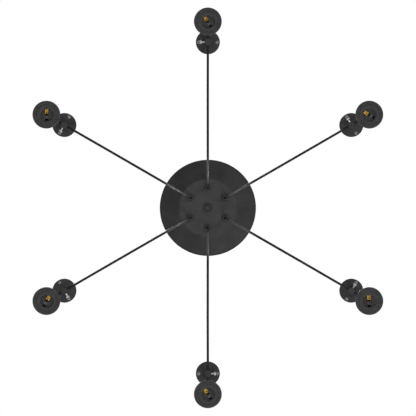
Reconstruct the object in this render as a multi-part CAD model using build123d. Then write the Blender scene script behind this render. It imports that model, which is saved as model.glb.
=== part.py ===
from build123d import *

import math
import os

# A six-way ceiling light of the spider form. A shallow spun canopy covers the wiring in the
# middle. Six round cords leave its face, swag outwards to six clamps that are screwed to the
# ceiling, and hang down from there, each to a screw lampholder with a shade ring.
#
# Millimetres. The origin is the canopy's centre on the ceiling, +Z points up into the ceiling,
# and everything but the plate screws' points lies below z = 0.

# ---------------------------------------------------------------- driving dimensions

# Layout
ARM_COUNT = 6
FIRST_ARM_ANGLE = 30.0
CLAMP_CIRCLE_RADIUS = 344.5
DROP_HEIGHT = 1000.0  # ceiling to lampholder mouth

# Fits and clearances, all radial
SCREW_FIT = 0.05  # screw or stem in its own thread
HOLE_FIT = 0.25  # screw, stem or stud in a plain hole
CORD_FIT = 0.3  # hard bore round a soft cord
RING_FIT = 0.25  # shade ring's thread round the lampholder's thread
CAP_FIT = 0.3  # cap round the lampholder's spigot
SOFT_GAP = 0.3  # between a cord and what moves beside it

# Canopy: a spun cup with a conical wall
CANOPY_DIAMETER = 200.0
CANOPY_FACE_DIAMETER = 120.0
CANOPY_DEPTH = 25.0
CANOPY_WALL = 1.2
CANOPY_LIP_HEIGHT = 2.5
CANOPY_LIP_ROUNDING = 2.0
CANOPY_EDGE_ROUNDING = 6.0

# Crossbar and the stud and nut that hold the canopy
BAR_LENGTH = 120.0
BAR_WIDTH = 20.0
BAR_THICKNESS = 2.5
BAR_END_ROUNDING = 6.0
SLOT_SPACING = 84.0
SLOT_LENGTH = 16.0
SLOT_WIDTH = 5.2
STUD_DIAMETER = 6.0
STUD_END_PROUD = 1.6  # stud end below the nut
STUD_END_CHAMFER = 0.8
CENTRE_NUT_DIAMETER = 15.6
CENTRE_NUT_HEIGHT = 8.0
CENTRE_NUT_ROUNDING = 1.6
KNURL_COUNT = 20
KNURL_DEPTH = 0.5

# Terminal block under the crossbar
BLOCK_POLES = 3
POLE_PITCH = 9.6
POLE_LENGTH = 17.0
POLE_WIDTH = 8.4
POLE_HEIGHT = 12.0
BLOCK_WEB_HEIGHT = 5.0
BLOCK_OFFSET = 20.0  # block centre from the stud, along the bar
WIRE_HOLE_DIAMETER = 3.4
WIRE_DIAMETER = 2.4  # a cord's two cores, laid together
WIRE_ENTRY = 6.0  # how far a lead reaches into its pole, under the screw
WIRE_LEAD_IN = 9.0  # straight run outside the pole
TERMINAL_SCREW_DIAMETER = 3.0
TERMINAL_SCREW_SPACING = 8.5
TERMINAL_SCREW_SLOT = 0.6

# Cord
CORD_DIAMETER = 5.0
PIVOT_OFFSET = 18.0  # hanging cord beyond its clamp post's axis
CLAMP_BEND_RUN = 19.0  # last run of the swag, down past the post
CORD_TAIL = 3.0  # sheath left above the canopy grip's stem
ARC_SHARE = 0.45  # of the shorter run, taken by each corner's arc

# Cord grips: the canopy's point down, the lampholders' point up
GRIP_DIAMETER = 14.0
GRIP_HEIGHT = 10.0
GRIP_END_DIAMETER = 10.0
GRIP_TAPER_HEIGHT = 4.0
GRIP_ROUNDING = 0.8
GRIP_STEM_DIAMETER = 10.0
GRIP_STEM_LENGTH = 8.0
GRIP_CIRCLE_RADIUS = 42.0
GRIP_NUT_WIDTH = 14.0
GRIP_NUT_HEIGHT = 3.0
HOLDER_GRIP_DIAMETER = 13.0
HOLDER_GRIP_HEIGHT = 15.0

# Ceiling clamp: plate, post and locking screw
PLATE_DIAMETER = 50.0
PLATE_THICKNESS = 3.5
PLATE_ROUNDING = 1.0
PLATE_HOLE_SPACING = 38.5
POST_DIAMETER = 14.0
POST_LENGTH = 21.0
POST_ROUNDING = 1.2
SPIGOT_DIAMETER = 8.0
SPIGOT_CHAMFER = 0.5
CORD_HEIGHT = 14.0  # cord's centreline below the ceiling, in the post
LOCK_SCREW_DIAMETER = 3.5
LOCK_HEAD_DIAMETER = 8.0
LOCK_HEAD_HEIGHT = 3.2
LOCK_HEAD_ROUNDING = 0.6
LOCK_HEAD_STANDOFF = 6.1  # bare shank between the post and the head
LOCK_SLOT_WIDTH = 1.0
LOCK_SLOT_DEPTH = 1.2

# Plate screws
PLATE_SCREW_DIAMETER = 3.5
PLATE_SCREW_LENGTH = 25.0
PLATE_SCREW_POINT = 4.0
PLATE_SHANK_DIAMETER = 2.9  # plain shank in the plate, up to the ceiling
PLATE_HEAD_DIAMETER = 7.3
PLATE_HEAD_HEIGHT = 2.6
PLATE_HEAD_ROUNDING = 1.2

# Lampholder, heights above its mouth
MOUTH_BORE_DIAMETER = 26.6
MOUTH_CHAMFER = 0.8
THREAD_DEPTH = 18.0  # the thread's inner end
CHAMBER_DIAMETER = 28.6  # contact chamber beyond the thread
MOUTH_DEPTH = 28.0
SKIRT_DIAMETER = 39.0
SKIRT_ROUNDING = 0.6
SKIRT_HEIGHT = 17.0
FLANGE_THICKNESS = 3.0
SPIGOT_HEIGHT = 7.0  # core inside the cap, above the flange
CORE_TOP_DIAMETER = 38.0
CORE_TOP_HEIGHT = 38.0
CORE_ROUNDING = 0.5
WIRE_WELL_DIAMETER = 8.0
WIRE_WELL_DEPTH = 7.0
WIRE_WELL_OFFSET = 10.0

# Lampholder cap
CAP_DIAMETER = 47.0
CAP_TOP_HEIGHT = 62.0
CAP_WALL = 1.0
CAP_SHOULDER_ROUNDING = 14.0
CAP_COLLAR_DIAMETER = 15.0
CAP_COLLAR_LENGTH = 6.0

# Contacts on the floor of the mouth
STRIP_THICKNESS = 0.6
TONGUE_WIDTH = 6.8
TONGUE_OUTER_END = 10.8  # from the lampholder's axis
TONGUE_BEND = 2.5
TONGUE_INNER_END = -0.6
TONGUE_SPRING = 3.5  # how far its free end stands off the floor
RIVET_DIAMETER = 3.0
RIVET_HEIGHT = 1.0
SIDE_CONTACT_WIDTH = 6.2
SIDE_CONTACT_INNER_END = 3.4
SIDE_CONTACT_BEND = 8.3
SIDE_CONTACT_OUTER_END = 11.6
SIDE_CONTACT_LEG = 9.0

# Shade ring
RING_DIAMETER = 54.2
RING_FACE_HEIGHT = 1.0  # above the mouth, so that the skirt ends just proud of it
RING_FLANGE_THICKNESS = 2.2
RING_COLLAR_DIAMETER = 44.8
RING_COLLAR_HEIGHT = 11.0
RING_LIP_HEIGHT = 3.4
RING_LIP_WIDTH = 1.3
RING_BEAD_DIAMETER = 46.6
RING_BEAD_WIDTH = 1.8
RING_BEAD_PROUD = 0.6
RING_EDGE_ROUNDING = 0.9
RING_FINE_ROUNDING = 0.3

# Heading of each lampholder's tongue about its own cord: they hang free, so each differs
TONGUE_HEADINGS = [90.0, 58.0, 31.0, 90.0, 58.0, 119.0]

# ---------------------------------------------------------------- places that follow

ARM_ANGLES = [FIRST_ARM_ANGLE + arm * 360.0 / ARM_COUNT for arm in range(ARM_COUNT)]
CORD_RADIUS = CORD_DIAMETER / 2
FACE_HEIGHT = -CANOPY_DEPTH
FACE_INSIDE_HEIGHT = FACE_HEIGHT + CANOPY_WALL
GRIP_END_HEIGHT = FACE_HEIGHT - GRIP_HEIGHT
TAIL_HEIGHT = FACE_HEIGHT + GRIP_STEM_LENGTH + CORD_TAIL
POST_FOOT_HEIGHT = -PLATE_THICKNESS - POST_LENGTH
PIVOT_RADIUS = CLAMP_CIRCLE_RADIUS + PIVOT_OFFSET
PIVOT_HEIGHT = -CORD_HEIGHT - CLAMP_BEND_RUN - CORD_RADIUS - SOFT_GAP
FLANGE_TOP = SKIRT_HEIGHT + FLANGE_THICKNESS
CORD_FOOT_HEIGHT = CAP_TOP_HEIGHT - GRIP_STEM_LENGTH - CORD_TAIL

# Route of a swag from inside the canopy to the bend at its clamp, chosen by hand as
# (distance from the canopy's axis, sideways bow, height below the ceiling). The first point is
# in the canopy's grip, and the last three run through the clamp's post and turn down.
SWAG_ROUTE = [
    (GRIP_CIRCLE_RADIUS, 0.0, TAIL_HEIGHT),
    (GRIP_CIRCLE_RADIUS, 0.0, -52.0),
    (75.0, 0.3, -69.5),
    (127.0, 0.8, -83.0),
    (182.0, 1.2, -82.0),
    (234.0, 1.0, -69.0),
    (281.0, 0.5, -46.5),
    (321.0, 0.0, -CORD_HEIGHT),
    (PIVOT_RADIUS, 0.0, -CORD_HEIGHT),
    (PIVOT_RADIUS, 0.0, -CORD_HEIGHT - CLAMP_BEND_RUN),
]
FREE_POINTS = range(2, 7)  # of the route: those that hang between canopy and clamp
# No two swags hang quite alike: extra sag in mm, and how far each bows sideways
EXTRA_SAG = [2.0, -1.0, 0.5, 1.5, -2.0, 0.0]
SIDE_BOW = [1.0, -0.8, 0.6, -1.0, 1.4, 0.7]


# ---------------------------------------------------------------- helpers


def turned(outline):
    """Solid of revolution about Z. outline: (radius, height, corner rounding) rows in order."""
    corners = [(radius, 0, height) for radius, height, _ in outline]
    roundings = [rounding for _, _, rounding in outline]
    edge = FilletPolyline(*corners, radius=roundings, close=True)
    return revolve(make_face(edge), Axis.Z)


def upright(radius, low, high):
    """Cylinder on the Z axis between two heights."""
    return Pos(0, 0, low) * Cylinder(radius, high - low, align=(Align.CENTER, Align.CENTER, Align.MIN))


def along_arms(piece):
    """Copies of a piece made on the +X arm, one on each arm."""
    return [Rot(0, 0, angle) * piece for angle in ARM_ANGLES]


def at_lampholder(arm, piece):
    """A lampholder piece, made mouth down at the origin with its tongue on +X, put in its place."""
    angle = math.radians(ARM_ANGLES[arm])
    place = Pos(PIVOT_RADIUS * math.cos(angle), PIVOT_RADIUS * math.sin(angle), -DROP_HEIGHT)
    return place * Rot(0, 0, TONGUE_HEADINGS[arm]) * piece


def corner_radii(points):
    """Each corner's arc: ARC_SHARE of the shorter run over the tangent of half the turn."""
    runs = [after - before for before, after in zip(points, points[1:])]
    radii = []
    for before, after in zip(runs, runs[1:]):
        half_turn = math.radians(before.get_angle(after)) / 2
        shorter = min(before.length, after.length)
        radii.append(ARC_SHARE * shorter / math.tan(half_turn))
    return radii


def round_tube(points, radius):
    """Cord or wire along straight runs that tangent arcs join, with its measures printed."""
    radii = corner_radii(points)
    path = FilletPolyline(*points, radius=radii)
    start = Plane(origin=points[0], z_dir=points[1] - points[0])
    tube = sweep(start * Circle(radius), path=path)
    solid_share = tube.volume / (math.pi * radius**2 * path.length)
    arcs = ", ".join(f"{arc:.0f}" for arc in radii)
    print(f"tube {path.length:.1f} mm long, arcs {arcs} mm, volume {solid_share:.4f} of section x length")
    return tube


def bent_strip(points, width):
    """Spring strip of one thickness through (x, z) points, centred on the XZ plane."""
    line = Polyline(*[(x, z) for x, z in points])
    section = Plane.XZ * trace(line, line_width=STRIP_THICKNESS)
    return extrude(section, amount=width / 2, both=True)


# ---------------------------------------------------------------- canopy and what is in it


def canopy_cover():
    blank = turned(
        [
            (0, 0, 0),
            (CANOPY_DIAMETER / 2, 0, 0),
            (CANOPY_DIAMETER / 2, -CANOPY_LIP_HEIGHT, CANOPY_LIP_ROUNDING),
            (CANOPY_FACE_DIAMETER / 2, FACE_HEIGHT, CANOPY_EDGE_ROUNDING),
            (0, FACE_HEIGHT, 0),
        ]
    )
    ceiling_side = blank.faces().sort_by(Axis.Z)[-1]
    cover = offset(blank, amount=-CANOPY_WALL, openings=ceiling_side)
    cover -= upright(STUD_DIAMETER / 2 + HOLE_FIT, FACE_HEIGHT, 0)
    grip_hole = upright(GRIP_STEM_DIAMETER / 2 + HOLE_FIT, FACE_HEIGHT, 0)
    for hole in along_arms(Pos(GRIP_CIRCLE_RADIUS, 0, 0) * grip_hole):
        cover -= hole
    return cover


def crossbar():
    outline = RectangleRounded(BAR_LENGTH, BAR_WIDTH, BAR_END_ROUNDING)
    slots = [Pos(side * SLOT_SPACING / 2, 0) * SlotOverall(SLOT_LENGTH, SLOT_WIDTH) for side in (-1, 1)]
    outline -= slots
    outline -= Circle(STUD_DIAMETER / 2 + SCREW_FIT)
    return extrude(outline, amount=-BAR_THICKNESS)


def centre_stud():
    radius = STUD_DIAMETER / 2
    low = FACE_HEIGHT - CENTRE_NUT_HEIGHT - STUD_END_PROUD
    stud = upright(radius, low, 0)
    return chamfer(stud.edges().filter_by(GeomType.CIRCLE), STUD_END_CHAMFER)


def centre_nut():
    low = FACE_HEIGHT - CENTRE_NUT_HEIGHT
    radius = CENTRE_NUT_DIAMETER / 2
    bore = STUD_DIAMETER / 2 + SCREW_FIT
    nut = turned(
        [
            (bore, low, 0),
            (radius, low, CENTRE_NUT_ROUNDING),
            (radius, FACE_HEIGHT, 0),
            (bore, FACE_HEIGHT, 0),
        ]
    )
    groove = Pos(radius, 0, 0) * upright(KNURL_DEPTH, low, FACE_HEIGHT)
    for step in range(KNURL_COUNT):
        nut -= Rot(0, 0, step * 360.0 / KNURL_COUNT) * groove
    return nut


def pole_places():
    """Each pole's distance from the stud along the bar."""
    first = BLOCK_OFFSET - (BLOCK_POLES - 1) / 2 * POLE_PITCH
    return [first + pole * POLE_PITCH for pole in range(BLOCK_POLES)]


def terminal_screw_places():
    return [
        (x, side * TERMINAL_SCREW_SPACING / 2) for x in pole_places() for side in (-1, 1)
    ]


def terminal_block():
    top = -BAR_THICKNESS
    middle = top - POLE_HEIGHT / 2
    web = Box(BLOCK_POLES * POLE_PITCH, POLE_LENGTH, BLOCK_WEB_HEIGHT)
    block = Pos(BLOCK_OFFSET, 0, top - BLOCK_WEB_HEIGHT / 2) * web
    for x in pole_places():
        block += Pos(x, 0, middle) * Box(POLE_WIDTH, POLE_LENGTH, POLE_HEIGHT)
    for x in pole_places():
        block -= Pos(x, 0, middle) * Rot(90, 0, 0) * Cylinder(WIRE_HOLE_DIAMETER / 2, POLE_LENGTH)
    well = upright(TERMINAL_SCREW_DIAMETER / 2 + SCREW_FIT, top - POLE_HEIGHT, middle)
    for x, y in terminal_screw_places():
        block -= Pos(x, y, 0) * well
    return block


def terminal_screws():
    low = -BAR_THICKNESS - POLE_HEIGHT
    wire_underside = low + POLE_HEIGHT / 2 - WIRE_DIAMETER / 2
    slot = Box(TERMINAL_SCREW_DIAMETER, TERMINAL_SCREW_SLOT, 2 * TERMINAL_SCREW_SLOT)
    screw = upright(TERMINAL_SCREW_DIAMETER / 2, low, wire_underside - SCREW_FIT)
    screw -= Pos(0, 0, low) * slot
    return [Pos(x, y, 0) * screw for x, y in terminal_screw_places()]


def lead_wires():
    """One lead a cord, from its end above the canopy grip to a pole of the terminal block.

    The three cords on each side of the bar take the three poles in order.
    """
    height = -BAR_THICKNESS - POLE_HEIGHT / 2
    face = POLE_LENGTH / 2
    wires = []
    for side in (-1, 1):
        tails = [
            Vector(GRIP_CIRCLE_RADIUS, 0, 0).rotate(Axis.Z, angle) for angle in ARM_ANGLES
        ]
        tails = sorted((tail for tail in tails if side * tail.Y > 0), key=lambda tail: tail.X)
        for tail, x in zip(tails, pole_places()):
            points = [
                Vector(tail.X, tail.Y, TAIL_HEIGHT),
                Vector(tail.X, tail.Y, height),
                Vector(x, side * (face + WIRE_LEAD_IN), height),
                Vector(x, side * (face - WIRE_ENTRY), height),
            ]
            wires.append(round_tube(points, WIRE_DIAMETER / 2))
    return wires


def cord_grip(diameter, height):
    """A strain relief, made mouth up: a stem below z = 0, a body above it, a bore all through."""
    bore = CORD_RADIUS + CORD_FIT
    return turned(
        [
            (bore, -GRIP_STEM_LENGTH, 0),
            (GRIP_STEM_DIAMETER / 2, -GRIP_STEM_LENGTH, GRIP_ROUNDING),
            (GRIP_STEM_DIAMETER / 2, 0, 0),
            (diameter / 2, 0, 0),
            (diameter / 2, height - GRIP_TAPER_HEIGHT, GRIP_ROUNDING),
            (GRIP_END_DIAMETER / 2, height, GRIP_ROUNDING),
            (bore, height, GRIP_ROUNDING),
        ]
    )


def canopy_cord_grips():
    grip = Pos(GRIP_CIRCLE_RADIUS, 0, FACE_HEIGHT) * Rot(180, 0, 0) * cord_grip(GRIP_DIAMETER, GRIP_HEIGHT)
    return along_arms(grip)


def grip_nuts():
    flats = RegularPolygon(GRIP_NUT_WIDTH / 2, 6, major_radius=False)
    nut = extrude(flats - Circle(GRIP_STEM_DIAMETER / 2 + SCREW_FIT), amount=GRIP_NUT_HEIGHT)
    return along_arms(Pos(GRIP_CIRCLE_RADIUS, 0, FACE_INSIDE_HEIGHT) * nut)


# ---------------------------------------------------------------- ceiling clamps


def ceiling_plates():
    radius = PLATE_DIAMETER / 2
    plate = turned(
        [
            (SPIGOT_DIAMETER / 2 + SCREW_FIT, 0, 0),
            (radius, 0, 0),
            (radius, -PLATE_THICKNESS, PLATE_ROUNDING),
            (SPIGOT_DIAMETER / 2 + SCREW_FIT, -PLATE_THICKNESS, 0),
        ]
    )
    hole = upright(PLATE_SCREW_DIAMETER / 2 + HOLE_FIT, -PLATE_THICKNESS, 0)
    for side in (-1, 1):
        plate -= Pos(0, side * PLATE_HOLE_SPACING / 2, 0) * hole
    return along_arms(Pos(CLAMP_CIRCLE_RADIUS, 0, 0) * plate)


def clamp_posts():
    radius = POST_DIAMETER / 2
    post = turned(
        [
            (0, 0, 0),
            (SPIGOT_DIAMETER / 2, 0, SPIGOT_CHAMFER),
            (SPIGOT_DIAMETER / 2, -PLATE_THICKNESS, 0),
            (radius, -PLATE_THICKNESS, 0),
            (radius, POST_FOOT_HEIGHT, POST_ROUNDING),
            (0, POST_FOOT_HEIGHT, 0),
        ]
    )
    cord_bore = Rot(0, 90, 0) * Cylinder(CORD_RADIUS + CORD_FIT, POST_DIAMETER)
    post -= Pos(0, 0, -CORD_HEIGHT) * cord_bore
    tapped = Rot(90, 0, 0) * upright(LOCK_SCREW_DIAMETER / 2 + SCREW_FIT, 0, radius)
    post -= Pos(0, 0, -CORD_HEIGHT) * tapped
    return along_arms(Pos(CLAMP_CIRCLE_RADIUS, 0, 0) * post)


def clamp_screw():
    """Locking screw on the +X arm: its point bears on the cord, its head stands off the post."""
    shoulder = POST_DIAMETER / 2 + LOCK_HEAD_STANDOFF
    head_radius = LOCK_HEAD_DIAMETER / 2
    screw = turned(
        [
            (0, CORD_RADIUS + SOFT_GAP, 0),
            (LOCK_SCREW_DIAMETER / 2, CORD_RADIUS + SOFT_GAP, 0),
            (LOCK_SCREW_DIAMETER / 2, shoulder, 0),
            (head_radius, shoulder, 0),
            (head_radius, shoulder + LOCK_HEAD_HEIGHT, LOCK_HEAD_ROUNDING),
            (0, shoulder + LOCK_HEAD_HEIGHT, 0),
        ]
    )
    slot = Box(LOCK_HEAD_DIAMETER, LOCK_SLOT_WIDTH, 2 * LOCK_SLOT_DEPTH)
    screw -= Pos(0, 0, shoulder + LOCK_HEAD_HEIGHT) * slot
    return Pos(CLAMP_CIRCLE_RADIUS, 0, -CORD_HEIGHT) * Rot(90, 0, 0) * screw


def plate_screws():
    radius = PLATE_SCREW_DIAMETER / 2
    head_radius = PLATE_HEAD_DIAMETER / 2
    seat = -PLATE_THICKNESS
    tip = seat + PLATE_SCREW_LENGTH
    screw = turned(
        [
            (0, seat - PLATE_HEAD_HEIGHT, 0),
            (head_radius, seat - PLATE_HEAD_HEIGHT, PLATE_HEAD_ROUNDING),
            (head_radius, seat, 0),
            (PLATE_SHANK_DIAMETER / 2, seat, 0),
            (PLATE_SHANK_DIAMETER / 2, 0, 0),
            (radius, 0, 0),
            (radius, tip - PLATE_SCREW_POINT, 0),
            (0, tip, 0),
        ]
    )
    pair = [Pos(CLAMP_CIRCLE_RADIUS, side * PLATE_HOLE_SPACING / 2, 0) * screw for side in (-1, 1)]
    return along_arms(pair[0]) + along_arms(pair[1])


# ---------------------------------------------------------------- cords


def swag_points(arm):
    """The route on one arm, with that cord's own sag and sideways bow, as vectors."""
    angle = math.radians(ARM_ANGLES[arm])
    points = []
    for place, (out, bow, height) in enumerate(SWAG_ROUTE):
        sag = EXTRA_SAG[arm] if place in FREE_POINTS else 0.0
        side = bow * SIDE_BOW[arm]
        x = out * math.cos(angle) - side * math.sin(angle)
        y = out * math.sin(angle) + side * math.cos(angle)
        points.append(Vector(x, y, height - sag))
    return points


def swag_cord(arm):
    return round_tube(swag_points(arm), CORD_RADIUS)


def drop_cord(arm):
    """The hanging length: a straight cord with a ball end at its pivot, just below the swag."""
    angle = math.radians(ARM_ANGLES[arm])
    length_end = -DROP_HEIGHT + CORD_FOOT_HEIGHT
    cord = upright(CORD_RADIUS, length_end, PIVOT_HEIGHT) + Pos(0, 0, PIVOT_HEIGHT) * Sphere(CORD_RADIUS)
    return Pos(PIVOT_RADIUS * math.cos(angle), PIVOT_RADIUS * math.sin(angle), 0) * cord


# ---------------------------------------------------------------- lampholder


def lampholder_core():
    skirt = SKIRT_DIAMETER / 2
    spigot = CAP_DIAMETER / 2 - CAP_WALL - CAP_FIT
    core = turned(
        [
            (0, 0, 0),
            (skirt, 0, SKIRT_ROUNDING),
            (skirt, SKIRT_HEIGHT, 0),
            (CAP_DIAMETER / 2, SKIRT_HEIGHT, CORE_ROUNDING),
            (CAP_DIAMETER / 2, FLANGE_TOP, 0),
            (spigot, FLANGE_TOP, 0),
            (spigot, FLANGE_TOP + SPIGOT_HEIGHT, CORE_ROUNDING),
            (CORE_TOP_DIAMETER / 2, FLANGE_TOP + SPIGOT_HEIGHT, 0),
            (CORE_TOP_DIAMETER / 2, CORE_TOP_HEIGHT, CORE_ROUNDING),
            (0, CORE_TOP_HEIGHT, 0),
        ]
    )
    bore = MOUTH_BORE_DIAMETER / 2
    core -= turned(
        [
            (0, 0, 0),
            (bore + MOUTH_CHAMFER, 0, 0),
            (bore, MOUTH_CHAMFER, 0),
            (bore, THREAD_DEPTH, 0),
            (CHAMBER_DIAMETER / 2, THREAD_DEPTH, 0),
            (CHAMBER_DIAMETER / 2, MOUTH_DEPTH, 0),
            (0, MOUTH_DEPTH, 0),
        ]
    )
    for side in (-1, 1):
        well = upright(WIRE_WELL_DIAMETER / 2, CORE_TOP_HEIGHT - WIRE_WELL_DEPTH, CORE_TOP_HEIGHT)
        core -= Pos(side * WIRE_WELL_OFFSET, 0, 0) * well
    return core


def lampholder_cap():
    radius = CAP_DIAMETER / 2
    blank = turned(
        [
            (0, FLANGE_TOP, 0),
            (radius, FLANGE_TOP, 0),
            (radius, CAP_TOP_HEIGHT, CAP_SHOULDER_ROUNDING),
            (0, CAP_TOP_HEIGHT, 0),
        ]
    )
    mouth = blank.faces().sort_by(Axis.Z)[0]
    cap = offset(blank, amount=-CAP_WALL, openings=mouth)
    cap += upright(CAP_COLLAR_DIAMETER / 2, CAP_TOP_HEIGHT - CAP_COLLAR_LENGTH, CAP_TOP_HEIGHT)
    tapped = upright(GRIP_STEM_DIAMETER / 2 + SCREW_FIT, CAP_TOP_HEIGHT - CAP_COLLAR_LENGTH, CAP_TOP_HEIGHT)
    return cap - tapped


def lampholder_grip():
    return Pos(0, 0, CAP_TOP_HEIGHT) * cord_grip(HOLDER_GRIP_DIAMETER, HOLDER_GRIP_HEIGHT)


def contacts():
    """Centre tongue with its rivet, and the side contact opposite it, on the mouth's floor."""
    seat = MOUTH_DEPTH - STRIP_THICKNESS / 2
    tongue = bent_strip(
        [
            (TONGUE_OUTER_END, seat),
            (TONGUE_BEND, seat),
            (TONGUE_INNER_END, seat - TONGUE_SPRING),
        ],
        TONGUE_WIDTH,
    )
    middle = (TONGUE_OUTER_END + TONGUE_INNER_END) / 2
    rivet = upright(RIVET_DIAMETER / 2, MOUTH_DEPTH - STRIP_THICKNESS - RIVET_HEIGHT, MOUTH_DEPTH)
    tongue += Pos(middle, 0, 0) * rivet
    side_contact = bent_strip(
        [
            (-SIDE_CONTACT_INNER_END, seat),
            (-SIDE_CONTACT_BEND, seat),
            (-SIDE_CONTACT_OUTER_END, seat - SIDE_CONTACT_LEG),
        ],
        SIDE_CONTACT_WIDTH,
    )
    return [tongue, side_contact]


def shade_ring():
    bore = SKIRT_DIAMETER / 2 + RING_FIT
    collar = RING_COLLAR_DIAMETER / 2
    outer = RING_DIAMETER / 2
    bead_in = RING_BEAD_DIAMETER / 2 - RING_BEAD_WIDTH / 2
    bead_out = RING_BEAD_DIAMETER / 2 + RING_BEAD_WIDTH / 2
    face = RING_FACE_HEIGHT
    flange_top = face + RING_FLANGE_THICKNESS
    lip_top = face + RING_LIP_HEIGHT
    collar_top = face + RING_COLLAR_HEIGHT
    return turned(
        [
            (bore, face, RING_FINE_ROUNDING),
            (bead_in, face, 0),
            (bead_in + RING_BEAD_PROUD, face - RING_BEAD_PROUD, RING_FINE_ROUNDING),
            (bead_out - RING_BEAD_PROUD, face - RING_BEAD_PROUD, RING_FINE_ROUNDING),
            (bead_out, face, 0),
            (outer, face, RING_EDGE_ROUNDING),
            (outer, lip_top, RING_FINE_ROUNDING),
            (outer - RING_LIP_WIDTH, lip_top, RING_FINE_ROUNDING),
            (outer - RING_LIP_WIDTH, flange_top, RING_FINE_ROUNDING),
            (collar, flange_top, RING_FINE_ROUNDING),
            (collar, collar_top, RING_FINE_ROUNDING),
            (bore, collar_top, RING_FINE_ROUNDING),
        ]
    )


# ---------------------------------------------------------------- export


def save(node, shapes):
    """Write one node: a single piece, or a list of pieces as one group of solids."""
    pieces = shapes if isinstance(shapes, list) else [shapes]
    solids = [solid for piece in pieces for solid in piece.solids()]
    export_step(Compound(children=solids), f"parts/{node}.step")
    print(f"{node}: {len(solids)} solid(s), {sum(solid.volume for solid in solids) / 1000:.2f} cm3")


os.makedirs("parts", exist_ok=True)

save("canopy_cover", canopy_cover())
save("crossbar", crossbar())
save("centre_stud", centre_stud())
save("centre_nut", centre_nut())
save("terminal_block", terminal_block())
save("terminal_screws", terminal_screws())
save("canopy_cord_grips", canopy_cord_grips())
save("grip_nuts", grip_nuts())
save("lead_wires", lead_wires())
save("ceiling_plates", ceiling_plates())
save("clamp_posts", clamp_posts())
save("plate_screws", plate_screws())

for arm in range(ARM_COUNT):
    number = arm + 1
    save(f"swag_cord_{number}", swag_cord(arm))
    save(f"drop_cord_{number}", drop_cord(arm))
    save(f"clamp_screw_{number}", Rot(0, 0, ARM_ANGLES[arm]) * clamp_screw())
    save(f"lampholder_grip_{number}", at_lampholder(arm, lampholder_grip()))
    save(f"lampholder_cap_{number}", at_lampholder(arm, lampholder_cap()))
    save(f"lampholder_core_{number}", at_lampholder(arm, lampholder_core()))
    save(f"contacts_{number}", [at_lampholder(arm, piece) for piece in contacts()])
    save(f"shade_ring_{number}", at_lampholder(arm, shade_ring()))
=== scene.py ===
# %% [markdown]
# # A six-way spider pendant, dressed for its picture
#
# The part is a ceiling light: a shallow black canopy, six textile cords that swag out to six
# ceiling clamps, and six lampholders that hang below the clamps. Its measured solids come from
# a CAD pack. This script keeps them as a fixed frame and builds the surfaces that show round
# them: spun metal, moulded plastic, threads, sprung brass and braided cord. Each cell makes one
# thing, and the text before it says what the real piece is and why it is made this way.

# %% Load the frame
import math

import bpy
import numpy as np
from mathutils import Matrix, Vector


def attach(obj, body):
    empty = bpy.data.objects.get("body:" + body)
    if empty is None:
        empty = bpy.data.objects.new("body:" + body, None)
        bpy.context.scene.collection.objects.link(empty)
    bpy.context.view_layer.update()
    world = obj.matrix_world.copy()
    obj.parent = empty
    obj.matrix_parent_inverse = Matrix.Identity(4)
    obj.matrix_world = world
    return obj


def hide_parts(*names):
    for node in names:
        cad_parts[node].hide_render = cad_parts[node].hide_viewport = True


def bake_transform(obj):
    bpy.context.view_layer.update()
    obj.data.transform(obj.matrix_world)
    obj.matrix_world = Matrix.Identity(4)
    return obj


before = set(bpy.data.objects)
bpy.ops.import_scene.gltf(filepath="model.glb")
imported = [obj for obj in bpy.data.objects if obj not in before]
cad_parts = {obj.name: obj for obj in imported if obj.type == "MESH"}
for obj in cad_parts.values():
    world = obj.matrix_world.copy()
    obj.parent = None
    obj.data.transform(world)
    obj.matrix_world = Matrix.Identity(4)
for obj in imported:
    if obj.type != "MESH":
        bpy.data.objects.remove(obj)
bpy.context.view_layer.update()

# %% [markdown]
# ## Sizes
#
# The CAD part's sizes that the surfaces share, in millimetres as on a drawing. Every function
# below works in millimetres too, and `MM` turns the result into metres once, when a mesh is made.
# The row frame has its origin at the canopy's centre on the ceiling, with +Z up.

# %% Sizes
MM = 0.001
ARM_ANGLES = [30, 90, 150, 210, 270, 330]
ARMS = range(1, 7)
CLAMP_RADIUS = 344.5
PIVOT_RADIUS = 362.5
MOUTH_HEIGHT = -1000.0
CORD_DIAMETER = 5.0
HEADINGS = [90, 58, 31, 90, 58, 119]  # which way each lampholder's tongue points

# %% [markdown]
# ## Camera
#
# The photograph looks straight up at the light from a long way off: circles a metre apart in
# height differ by only a fifteenth in scale. A long lens 15.3 m below the ceiling gives that.
# The camera is turned half round the Y axis, so that it looks up and the picture's right is -X.

# %% Camera
CAMERA_BELOW_CEILING = 15.29
CAMERA_ASIDE = -0.0003  # metres: the picture's middle isn't quite the canopy's
CAMERA_SEES_TO = 100.0
FRAME_WIDTH_AT_CEILING = 0.8653
SENSOR_MM = 36.0
lens_data = bpy.data.cameras.new("camera")
lens_data.sensor_width = SENSOR_MM
lens_data.lens = SENSOR_MM * CAMERA_BELOW_CEILING / FRAME_WIDTH_AT_CEILING
lens_data.clip_end = CAMERA_SEES_TO
camera = bpy.data.objects.new("camera", lens_data)
camera.location = (CAMERA_ASIDE, CAMERA_ASIDE, -CAMERA_BELOW_CEILING)
camera.rotation_euler = (0.0, math.pi, 0.0)
bpy.context.scene.collection.objects.link(camera)
bpy.context.scene.camera = camera
print(f"camera: {lens_data.lens:.0f} mm lens, {CAMERA_BELOW_CEILING} m below the ceiling")

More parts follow.
